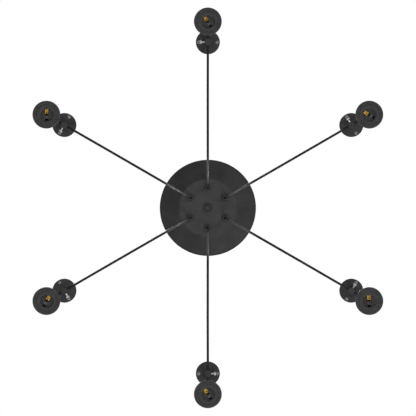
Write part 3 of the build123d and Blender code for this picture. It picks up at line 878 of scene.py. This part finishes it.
# %% [markdown]
# ## Contacts
#
# The brass tongue springs off the mouth's floor to meet the lamp's centre, with a rivet at its
# root, and a plated strip on the other side meets the lamp's shell. A strip is a flat section
# carried along a bent line: the section is a squared-off circle, and its half width shrinks as a
# quarter ellipse towards a free end, which rounds the tip.

# %% Contacts
STRIP_THICKNESS = 0.6
STRIP_COLUMNS = 24
SECTION_POWER = 0.3  # 1 would make the section an ellipse, 0 a rectangle
TIP_END = 0.995  # just short of 1, where the half width would be nothing
FLOOR_LINE = 27.7


def strip_grid(rows, width, tip_length):
    """Flat strip along an (x, z) line, rounded over tip_length at its far end.

    At distance s the half width is w sqrt(1 - q^2), where q runs from 0 to 1 over the tip. The
    section is (w |cos|^p, t |sin|^p) with the signs kept, and both ends close on the line.
    """
    line, _ = rounded_outline(rows, longest=0.35)
    run = distance_along(line)
    tip = np.clip((run - run[-1] + tip_length) / tip_length, 0, TIP_END)
    half_width = width / 2 * np.sqrt(1 - tip**2)
    along = directions(line)
    angle = np.linspace(0, 2 * math.pi, STRIP_COLUMNS + 1)
    flat = np.sign(np.cos(angle)) * np.abs(np.cos(angle)) ** SECTION_POWER
    thick = np.sign(np.sin(angle)) * np.abs(np.sin(angle)) ** SECTION_POWER * STRIP_THICKNESS / 2
    x = line[:, :1] - along[:, 1:] * thick
    z = line[:, 1:] + along[:, :1] * thick
    y = half_width[:, None] * flat
    skin = np.stack([x, np.broadcast_to(y, x.shape), z], axis=-1)
    skin[:, -1] = skin[:, 0]
    middle = np.stack([line[:, 0], np.zeros(len(line)), line[:, 1]], axis=-1)
    return closed_skin(skin, middle, run)


TONGUE_LINE = [(10.8, FLOOR_LINE, 0), (1.6, FLOOR_LINE - 0.5, 3.0), (-0.9, FLOOR_LINE - 3.4, 0)]
SIDE_LINE = [(-3.4, FLOOR_LINE, 0), (-8.3, FLOOR_LINE, 1.5), (-11.6, FLOOR_LINE - 9.0, 0)]
RIVET_ROWS = [(0, 26.4, 0), (1.5, 26.4, 0.6), (1.5, 28, 0), (0, 28, 0)]
RIVET_OUT = 5.1
rivet, rivet_uv = turned_grid(rounded_outline(RIVET_ROWS)[0], turns=32)
contact_parts = {
    "brass_tongue": strip_grid(TONGUE_LINE, width=6.8, tip_length=1.6),
    "contact_rivet": (rivet + np.array([RIVET_OUT, 0, 0]), rivet_uv),
    "side_spring": strip_grid(SIDE_LINE, width=6.2, tip_length=1.2),
}
contacts = {name: [] for name in contact_parts}
for arm in ARMS:
    for name, (grid, uv) in contact_parts.items():
        piece = make_piece(f"{name}_{arm}", [at_lampholder(arm)(grid)], [uv])
        stand_in(piece, f"lampholder_{arm}", f"contacts_{arm}")
        contacts[name].append(piece)
for name, pieces in contacts.items():
    print(f"{name}: {len(pieces[0].data.vertices)} vertices each")

# %% [markdown]
# ## Nodes for the finishes
#
# A finish is a Principled shader and a few effects that change over the surface. Effects that
# several finishes share are node groups, each built once with named inputs: grain, lathe lines,
# edge wear, smudges and scratches. A group puts out only masks and heights; the shader and its
# plain numbers stay in the material. Small patterns read Object coordinates in metres, and
# lathe lines and braid read the piece's own (u, v).

# %% Node helpers


def add_node(tree, kind, values=None, **settings):
    """One node: settings are its own choices, values are numbers or sockets for its inputs."""
    made = tree.nodes.new(kind)
    for label, choice in settings.items():
        setattr(made, label, choice)
    for label, value in (values or {}).items():
        if isinstance(value, bpy.types.NodeSocket):
            tree.links.new(value, made.inputs[label])
        else:
            made.inputs[label].default_value = value
    return made


def maths(tree, operation, first, second=0.0):
    """Result of a Math node on two numbers or sockets."""
    return add_node(tree, "ShaderNodeMath", {0: first, 1: second}, operation=operation).outputs[0]


def spread(tree, value, low, high, to_low=0.0, to_high=1.0):
    """Map Range: value from low..high to to_low..to_high, held at the ends."""
    limits = {"Value": value, "From Min": low, "From Max": high, "To Min": to_low, "To Max": to_high}
    return add_node(tree, "ShaderNodeMapRange", limits).outputs["Result"]


def noise(tree, vector, scale, detail, distortion=0.0):
    """Value of a noise texture, about 0.5 and never far from 0 to 1."""
    values = {"Vector": vector, "Scale": scale, "Detail": detail, "Distortion": distortion}
    return add_node(tree, "ShaderNodeTexNoise", values).outputs[0]


def new_group(name, inputs, outputs):
    """Empty group with float inputs (label, value), a Vector input, and float outputs."""
    group = bpy.data.node_groups.new(name, "ShaderNodeTree")
    group.interface.new_socket("Vector", in_out="INPUT", socket_type="NodeSocketVector")
    for label, value in inputs:
        socket = group.interface.new_socket(label, in_out="INPUT", socket_type="NodeSocketFloat")
        socket.default_value = value
    for label in outputs:
        group.interface.new_socket(label, in_out="OUTPUT", socket_type="NodeSocketFloat")
    return group, group.nodes.new("NodeGroupInput").outputs, group.nodes.new("NodeGroupOutput").inputs


def effect(tree, group, **values):
    """Outputs of a shared effect on Object coordinates, with this material's own values."""
    values["Vector"] = object_place(tree)
    return add_node(tree, "ShaderNodeGroup", values, node_tree=group).outputs


# %% Shared effects
fine_grain, take, give = new_group("fine_grain", [("Scale", 900.0)], ["Height", "Tone"])
small = noise(fine_grain, take["Vector"], take["Scale"], detail=2.0)
wide_scale = maths(fine_grain, "MULTIPLY", take["Scale"], 0.06)
wide = noise(fine_grain, take["Vector"], wide_scale, detail=3.0)
fine_grain.links.new(small, give["Height"])
fine_grain.links.new(spread(fine_grain, wide, 0.35, 0.65), give["Tone"])

lathe_lines, take, give = new_group("lathe_lines", [("Distance", 0.0), ("Spacing", 0.5)], ["Height"])
ridge = maths(lathe_lines, "DIVIDE", take["Distance"], take["Spacing"])
line_values = {"W": ridge, "Scale": 1.0, "Detail": 3.0}
lines = add_node(lathe_lines, "ShaderNodeTexNoise", line_values, noise_dimensions="1D")
lathe_lines.links.new(lines.outputs[0], give["Height"])

edge_wear, take, give = new_group("edge_wear", [("Edge", 0.0), ("Amount", 0.5)], ["Mask"])
patch = noise(edge_wear, take["Vector"], 420.0, detail=4.0)
reach = maths(edge_wear, "MULTIPLY", take["Edge"], take["Amount"])
worn = maths(edge_wear, "ADD", patch, maths(edge_wear, "SUBTRACT", reach, 1.0))
edge_wear.links.new(spread(edge_wear, worn, 0.0, 0.12), give["Mask"])

smudges, take, give = new_group("smudges", [("Scale", 40.0)], ["Mask"])
blot = noise(smudges, take["Vector"], take["Scale"], detail=5.0, distortion=0.8)
smudges.links.new(spread(smudges, blot, 0.42, 0.68), give["Mask"])

scratches, take, give = new_group("scratches", [("Scale", 1.0)], ["Mask"])
stretch = {"Vector": take["Vector"], "Rotation": (0.3, 0.5, 0.7), "Scale": (60.0, 1500.0, 300.0)}
stretched = add_node(scratches, "ShaderNodeMapping", stretch).outputs[0]
hair = noise(scratches, stretched, take["Scale"], detail=1.0, distortion=0.3)
scratches.links.new(spread(scratches, hair, 0.66, 0.72), give["Mask"])
print("shared effects:", ", ".join(group.name for group in bpy.data.node_groups))

# %% Finish helpers


def new_finish(name, colour, roughness, metallic=0.0, specular=0.5):
    """Material with plain numbers on its shader's own sockets; returns it, its tree and shader."""
    finish = bpy.data.materials.new(name)
    finish.use_nodes = True
    finish.diffuse_color = (*colour, 1.0)
    shader = finish.node_tree.nodes["Principled BSDF"]
    shader.inputs["Base Color"].default_value = (*colour, 1.0)
    shader.inputs["Roughness"].default_value = roughness
    shader.inputs["Metallic"].default_value = metallic
    shader.inputs["Specular IOR Level"].default_value = specular
    return finish, finish.node_tree, shader


def object_place(tree):
    """Object coordinates, in metres in the row frame."""
    return add_node(tree, "ShaderNodeTexCoord").outputs["Object"]


def own_uv(tree):
    """The piece's own (u, v): share of a turn, and millimetres along the outline."""
    uv = add_node(tree, "ShaderNodeUVMap", uv_map="outline")
    parts = add_node(tree, "ShaderNodeSeparateXYZ", {0: uv.outputs["UV"]})
    return parts.outputs["X"], parts.outputs["Y"]


def edge_value(tree):
    """The edge attribute that the outlines carry, 0 on pieces without one."""
    return add_node(tree, "ShaderNodeAttribute", attribute_name="edge").outputs["Fac"]


def blend_colour(tree, mask, first, second, **settings):
    """Colour mix: first where the mask is 0, second where it is 1. Inputs 6 and 7 are its colours."""
    colours = {6: first, 7: second}
    for label, value in colours.items():
        if not isinstance(value, bpy.types.NodeSocket):
            colours[label] = (*value, 1.0)
    return add_node(tree, "ShaderNodeMix", {0: mask, **colours}, data_type="RGBA", **settings).outputs[2]


def scaled(colour, share):
    """The colour made darker or lighter, with no part over 1."""
    return tuple(min(1.0, value * share) for value in colour)


def raise_surface(tree, shader, height, depth_mm):
    """Bump of the given depth, in millimetres, from a height of 0 to 1."""
    bump = add_node(tree, "ShaderNodeBump", {"Height": height, "Distance": depth_mm * MM, "Strength": 1.0})
    tree.links.new(bump.outputs["Normal"], shader.inputs["Normal"])


def feed(tree, shader, label, socket):
    """Link one varying value to a socket of the shader."""
    tree.links.new(socket, shader.inputs[label])


def reopen(finish):
    """A finished material's tree and shader, with what now feeds its base colour."""
    shader = finish.node_tree.nodes["Principled BSDF"]
    return finish.node_tree, shader, shader.inputs["Base Color"].links[0].from_socket


# %% [markdown]
# ## Black paint
#
# The canopy, clamps and lampholder caps are steel with a satin black powder coat. Powder dries to
# a fine orange peel and goes patchy in gloss where hands have been. The roundings are painted
# blacker, as painted shade where they turn away from the light, except where the coat has been
# knocked and is worn grey. The spun pieces show faint circles from the spinning tool through it,
# and the canopy's face is painted greyer than its cone, as painted light where it faces the lamps.

# %% Black paint


def painted_metal(name, colour, roughness, peel_mm, line_depth, wear):
    """Satin powder coat: orange peel, faint lathe lines, patchy gloss, roundings painted blacker as shade.
    """
    finish, tree, shader = new_finish(name, colour, roughness, specular=PAINT_SPECULAR)
    grain = effect(tree, fine_grain, Scale=700.0)
    touched = effect(tree, smudges, Scale=26.0)["Mask"]
    worn = effect(tree, edge_wear, Edge=edge_value(tree), Amount=wear)["Mask"]
    lines = effect(tree, lathe_lines, Distance=own_uv(tree)[1], Spacing=0.9)["Height"]
    mottled = blend_colour(tree, grain["Tone"], colour, scaled(colour, 1.25))
    # painted shade: the roundings are painted blacker where they turn away from the light
    darker = blend_colour(tree, edge_value(tree), mottled, scaled(colour, 0.45))
    feed(tree, shader, "Base Color", blend_colour(tree, worn, darker, scaled(colour, 1.6)))
    feed(tree, shader, "Roughness", spread(tree, touched, 0.0, 1.0, roughness - 0.05, roughness + 0.1))
    relief = maths(tree, "ADD", grain["Height"], maths(tree, "MULTIPLY", lines, line_depth))
    raise_surface(tree, shader, relief, peel_mm)
    return finish


PAINT_SPECULAR = 0.12
PAINTS = {  # name: colour, roughness, depth of the peel in mm, share of lathe lines, wear
    "canopy_black_paint": ((0.023, 0.023, 0.0235), 0.52, 0.02, 0.8, 0.35),
    "clamp_black_paint": ((0.026, 0.026, 0.0265), 0.48, 0.03, 0.4, 0.45),
    "holder_black_paint": ((0.022, 0.022, 0.0225), 0.40, 0.02, 0.9, 0.40),
}
canopy_paint, clamp_paint, holder_paint = (painted_metal(name, *row) for name, row in PAINTS.items())
FACE_RUN = (46.0, 51.0)  # millimetres along the canopy's outline where the cone turns into the face
# Painted light: the canopy's face is painted greyer than its cone, where it faces the lamps below.
FACE_PAINTED_LIGHT = (0.012, 0.012, 0.012)  # what the face adds to the paint's own colour
tree, shader, coated = reopen(canopy_paint)
# painted light on the canopy's face
painted_face_light = blend_colour(tree, spread(tree, own_uv(tree)[1], *FACE_RUN), (0.0, 0.0, 0.0), FACE_PAINTED_LIGHT)
feed(tree, shader, "Base Color", blend_colour(tree, 1.0, coated, painted_face_light, blend_type="ADD"))
print("paints:", ", ".join(PAINTS))

# %% [markdown]
# ## Moulded plastics
#
# The lampholder core and shade ring are moulded from a hard black thermoset, the cord grips from
# black nylon and the terminal block from a milky nylon. A mould leaves a very fine pebble, flow
# shows as broad changes of tone, and handled edges polish up, so their roughness drops there.
# The inside of a lampholder's mouth is painted a lighter grey, as painted light reaching into it.

# %% Moulded plastics


def moulded_plastic(name, colour, roughness, pebble_scale, pebble_mm, specular):
    """Moulded surface: fine pebble, broad flow tones and edges polished by handling."""
    finish, tree, shader = new_finish(name, colour, roughness, specular=specular)
    grain = effect(tree, fine_grain, Scale=pebble_scale)
    flow = effect(tree, smudges, Scale=90.0)["Mask"]
    polished = effect(tree, edge_wear, Edge=edge_value(tree), Amount=0.7)["Mask"]
    feed(tree, shader, "Base Color", blend_colour(tree, flow, colour, scaled(colour, 1.3)))
    duller = spread(tree, grain["Tone"], 0.0, 1.0, roughness - 0.04, roughness + 0.06)
    feed(tree, shader, "Roughness", maths(tree, "SUBTRACT", duller, maths(tree, "MULTIPLY", polished, 0.12)))
    raise_surface(tree, shader, grain["Height"], pebble_mm)
    return finish


PLASTICS = {  # name: colour, roughness, scale of the pebble and its depth in mm, specular level
    "core_black_plastic": ((0.020, 0.020, 0.0202), 0.42, 1500.0, 0.015, 0.15),
    "ring_black_plastic": ((0.021, 0.021, 0.0213), 0.44, 1300.0, 0.02, 0.15),
    "grip_black_nylon": ((0.028, 0.028, 0.0282), 0.5, 1100.0, 0.03, 0.15),
    "block_milky_nylon": ((0.72, 0.70, 0.64), 0.42, 1000.0, 0.03, 0.5),
    "lead_insulation": ((0.10, 0.10, 0.10), 0.38, 2200.0, 0.01, 0.5),
}
plastics = [moulded_plastic(name, *row) for name, row in PLASTICS.items()]
core_black, ring_black, grip_black, block_milky, lead_cover = plastics
milky_shader = reopen(block_milky)[1]
milky_shader.inputs["Subsurface Weight"].default_value = 0.15
milky_shader.inputs["Subsurface Scale"].default_value = 0.002
MOUTH_RUN = (40.0, 42.5)  # millimetres along the core's outline where the mouth's wall ends
# Painted light: the colour of the mouth's inside, lighter than the core, where light reaches in.
MOUTH_PAINTED_LIGHT = (0.085, 0.085, 0.083)
tree, shader, moulded = reopen(core_black)
# painted light inside the mouth
inside = spread(tree, own_uv(tree)[1], *MOUTH_RUN, 1.0, 0.0)
feed(tree, shader, "Base Color", blend_colour(tree, inside, moulded, MOUTH_PAINTED_LIGHT))
print("plastics:", ", ".join(PLASTICS))

# %% [markdown]
# ## Lead insulation
#
# The six leads inside the canopy have plain extruded insulation. Each pair of leads goes to one
# pole of the block: brown for live, blue for neutral, and black for the switched pole. The poles
# lie side by side along X, and the middle pair of leads slants to its pole from the canopy's
# middle, so a stepped colour ramp reads X with that slant taken out.

# %% Lead insulation
MIDDLE_POLE_X = 0.02  # metres: the middle pole, and where the leads bend and end
LEAD_BEND_Y = 0.0175
LEAD_TAIL_Y = 0.042
POLE_SPAN = (MIDDLE_POLE_X - 0.05, MIDDLE_POLE_X + 0.05)  # what the colour ramp covers
POLE_COLOURS = {  # where on the ramp each pole's colour starts
    0.0: (0.02, 0.02, 0.02, 1),
    0.45: (0.015, 0.07, 0.30, 1),
    0.55: (0.16, 0.055, 0.02, 1),
}
tree, shader, _ = reopen(lead_cover)
parts = add_node(tree, "ShaderNodeSeparateXYZ", {0: object_place(tree)}).outputs
beyond = maths(tree, "SUBTRACT", maths(tree, "ABSOLUTE", parts["Y"]), LEAD_BEND_Y)
steepness = MIDDLE_POLE_X / (LEAD_TAIL_Y - LEAD_BEND_Y)
slant = maths(tree, "MULTIPLY", maths(tree, "MAXIMUM", beyond, 0.0), steepness)
across = spread(tree, maths(tree, "ADD", parts["X"], slant), *POLE_SPAN)
pole = add_node(tree, "ShaderNodeValToRGB", {0: across})
pole.color_ramp.interpolation = "CONSTANT"
stops = pole.color_ramp.elements
stops.remove(stops[1])
for position, colour in POLE_COLOURS.items():
    stop = stops.new(position) if position else stops[0]
    stop.color = colour
feed(tree, shader, "Base Color", pole.outputs["Color"])
print(f"leads: {len(stops)} colours across X")

# %% [markdown]
# ## Bare metals
#
# The locking screws are bright nickel-plated steel, the ceiling screws and the stud are greyer
# zinc, and the lamp contacts are spring brass and tinned strip. Plating is never even: it has
# cloudy patches, fine lines from turning or rolling, scratches, and rubs brighter on edges.

# %% Bare metals


def bare_metal(name, colour, roughness, tarnish, line_spacing, line_mm):
    """Plated or bare metal: cloudy tarnish, lathe or rolling lines, scratches, brighter edges."""
    finish, tree, shader = new_finish(name, colour, roughness, metallic=1.0)
    cloud = effect(tree, smudges, Scale=160.0)["Mask"]
    hairs = effect(tree, scratches, Scale=1.0)["Mask"]
    rubbed = effect(tree, edge_wear, Edge=edge_value(tree), Amount=0.8)["Mask"]
    lines = effect(tree, lathe_lines, Distance=own_uv(tree)[1], Spacing=line_spacing)["Height"]
    dulled = blend_colour(tree, cloud, colour, tarnish)
    feed(tree, shader, "Base Color", blend_colour(tree, rubbed, dulled, scaled(colour, 1.3)))
    patchy = spread(tree, cloud, 0.0, 1.0, roughness, roughness + 0.14)
    feed(tree, shader, "Roughness", maths(tree, "ADD", patchy, maths(tree, "MULTIPLY", hairs, 0.15)))
    raise_surface(tree, shader, maths(tree, "SUBTRACT", lines, hairs), line_mm)
    return finish


METALS = {  # name: colour, roughness, tarnished colour, spacing and depth of its lines in mm
    "bar_zinc_plate": ((0.42, 0.42, 0.40), 0.42, (0.30, 0.30, 0.29), 0.7, 0.01),
    "stud_zinc_plate": ((0.045, 0.045, 0.045), 0.45, (0.03, 0.03, 0.03), 0.4, 0.006),
    "ceiling_screw_zinc": ((0.12, 0.12, 0.12), 0.45, (0.085, 0.085, 0.085), 0.25, 0.006),
    "lock_screw_nickel": ((0.34, 0.335, 0.325), 0.42, (0.26, 0.255, 0.245), 0.25, 0.005),
    "terminal_brass": ((0.62, 0.42, 0.16), 0.34, (0.40, 0.25, 0.09), 0.4, 0.01),
    "spring_brass": ((0.40, 0.235, 0.05), 0.42, (0.31, 0.175, 0.036), 0.3, 0.003),
    # The rivet is painted dark brown, as painted shade in place of an eyelet's hole.
    "rivet_painted_shade": ((0.05, 0.022, 0.01), 0.5, (0.035, 0.015, 0.008), 0.3, 0.004),
    "tinned_strip": ((0.12, 0.126, 0.138), 0.55, (0.09, 0.096, 0.108), 0.3, 0.004),
}
metals = {name: bare_metal(name, *row) for name, row in METALS.items()}
print("metals:", ", ".join(metals))

# %% [markdown]
# ## Textile cord
#
# The cord's cover is braided from black rayon on a round braiding machine: carriers run both
# ways round and pass over and under in turn. Seen flat, the two families are the whole numbers of
# a = n u + v / p and b = n u - v / p, with u the share of a turn and v the distance along, and
# whether floor(a) + floor(b) is even or odd says which family is on top in that cell. Rayon is
# shiny along its threads, so the cord has a soft highlight. The yarn's colour is painted darker
# between the threads and lighter on their crests, as painted shade. A braid frays where it is
# cut, so its end gets clear lacquer before it goes into the grip: a coat over the canopy. Under
# the coat the yarn is painted lighter, as a painted sheen.

# %% Textile cord
BRAID_CARRIERS = 12.0
BRAID_PITCH = 1.5  # millimetres along the cord for one step of either family
# The lacquer coat and a painted sheen, a lighter yarn colour, both fade out over this span.
LACQUER_AND_SHEEN_RADIUS = (0.090, 0.108)  # metres from the canopy's axis where the lacquer thins out


def braid_family(tree, turn, rise, sign):
    """One family of threads: its cell number, and sin(pi x) across its thread."""
    round_count = maths(tree, "MULTIPLY", turn, BRAID_CARRIERS)
    count = maths(tree, "ADD", round_count, maths(tree, "MULTIPLY", rise, sign))
    across = maths(tree, "SINE", maths(tree, "MULTIPLY", maths(tree, "FRACT", count), math.pi))
    return maths(tree, "FLOOR", count), across


cord_textile, tree, shader = new_finish("cord_black_rayon", (0.008, 0.008, 0.008), 0.4, specular=0.12)
turn, along = own_uv(tree)
rise = maths(tree, "DIVIDE", along, BRAID_PITCH)
left_cell, left_across = braid_family(tree, turn, rise, 1.0)
right_cell, right_across = braid_family(tree, turn, rise, -1.0)
odd = maths(tree, "MODULO", maths(tree, "ABSOLUTE", maths(tree, "ADD", left_cell, right_cell)), 2.0)
left_height = maths(tree, "MULTIPLY", left_across, spread(tree, right_across, 0.0, 1.0, 0.55, 1.0))
right_height = maths(tree, "MULTIPLY", right_across, spread(tree, left_across, 0.0, 1.0, 0.55, 1.0))
over = maths(tree, "MULTIPLY", odd, left_height)
under = maths(tree, "MULTIPLY", maths(tree, "SUBTRACT", 1.0, odd), right_height)
thread_height = maths(tree, "ADD", over, under)
dust = effect(tree, smudges, Scale=30.0)["Mask"]
# painted shade: the yarn is darker between the threads and lighter on their crests
yarn = blend_colour(tree, thread_height, (0.003, 0.003, 0.003), (0.009, 0.009, 0.0092))
yarn = blend_colour(tree, maths(tree, "MULTIPLY", dust, 0.2), yarn, (0.014, 0.0135, 0.013))
feed(tree, shader, "Roughness", spread(tree, thread_height, 0.0, 1.0, 0.5, 0.36))
raise_surface(tree, shader, thread_height, 0.015)
level = add_node(
    tree, "ShaderNodeVectorMath", {0: object_place(tree), 1: (1.0, 1.0, 0.0)}, operation="MULTIPLY"
).outputs[0]
from_axis = add_node(tree, "ShaderNodeVectorMath", {0: level}, operation="LENGTH").outputs["Value"]
lacquer_and_painted_sheen = spread(tree, from_axis, *LACQUER_AND_SHEEN_RADIUS, 1.0, 0.0)
feed(tree, shader, "Coat Weight", lacquer_and_painted_sheen)
# painted sheen: under the lacquer the yarn is painted lighter, still darker between threads as painted shade
painted_sheen_yarn = blend_colour(tree, thread_height, (0.018, 0.018, 0.018), (0.030, 0.030, 0.0305))
feed(tree, shader, "Base Color", blend_colour(tree, lacquer_and_painted_sheen, yarn, painted_sheen_yarn))
shader.inputs["Coat Roughness"].default_value = 0.2
shader.inputs["Coat IOR"].default_value = 1.45
print(f"braid: {BRAID_CARRIERS:.0f} threads each way, {BRAID_PITCH} mm a step")

# %% [markdown]
# ## Finishes on the pieces
#
# Every new piece takes its finish here, and so does every CAD solid that stays in view. A CAD
# mesh isn't changed: its object gets the material on its own slot instead.

# %% Finishes on the pieces


def finish_piece(piece, finish):
    """Give a new piece its one material."""
    piece.data.materials.clear()
    piece.data.materials.append(finish)


def finish_node(node, finish):
    """Give a CAD solid that stays in view a finish on its object's own slots."""
    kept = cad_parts[node]
    if not kept.material_slots:
        kept.data.materials.append(finish)
    for material_slot in kept.material_slots:
        material_slot.link = "OBJECT"
        material_slot.material = finish


for pieces, finish in (
    (cords, cord_textile),
    ([canopy], canopy_paint),
    ([nut, plates], clamp_paint),
    ([stud], metals["stud_zinc_plate"]),
    ([plate_screws], metals["ceiling_screw_zinc"]),
    ([canopy_grips, *holder_grips], grip_black),
    (cores, core_black),
    (caps, holder_paint),
    (rings, ring_black),
    (contacts["brass_tongue"], metals["spring_brass"]),
    (contacts["contact_rivet"], metals["rivet_painted_shade"]),
    (contacts["side_spring"], metals["tinned_strip"]),
):
    for piece in pieces:
        finish_piece(piece, finish)

kept_nodes = [
    ("crossbar", metals["bar_zinc_plate"]),
    ("terminal_block", block_milky),
    ("terminal_screws", metals["terminal_brass"]),
    ("grip_nuts", grip_black),
    ("lead_wires", lead_cover),
    ("clamp_posts", clamp_paint),
]
kept_nodes += [(f"clamp_screw_{arm}", metals["lock_screw_nickel"]) for arm in ARMS]
for node, finish in kept_nodes:
    finish_node(node, finish)
print(f"{len(kept_nodes)} CAD solids stay in view")
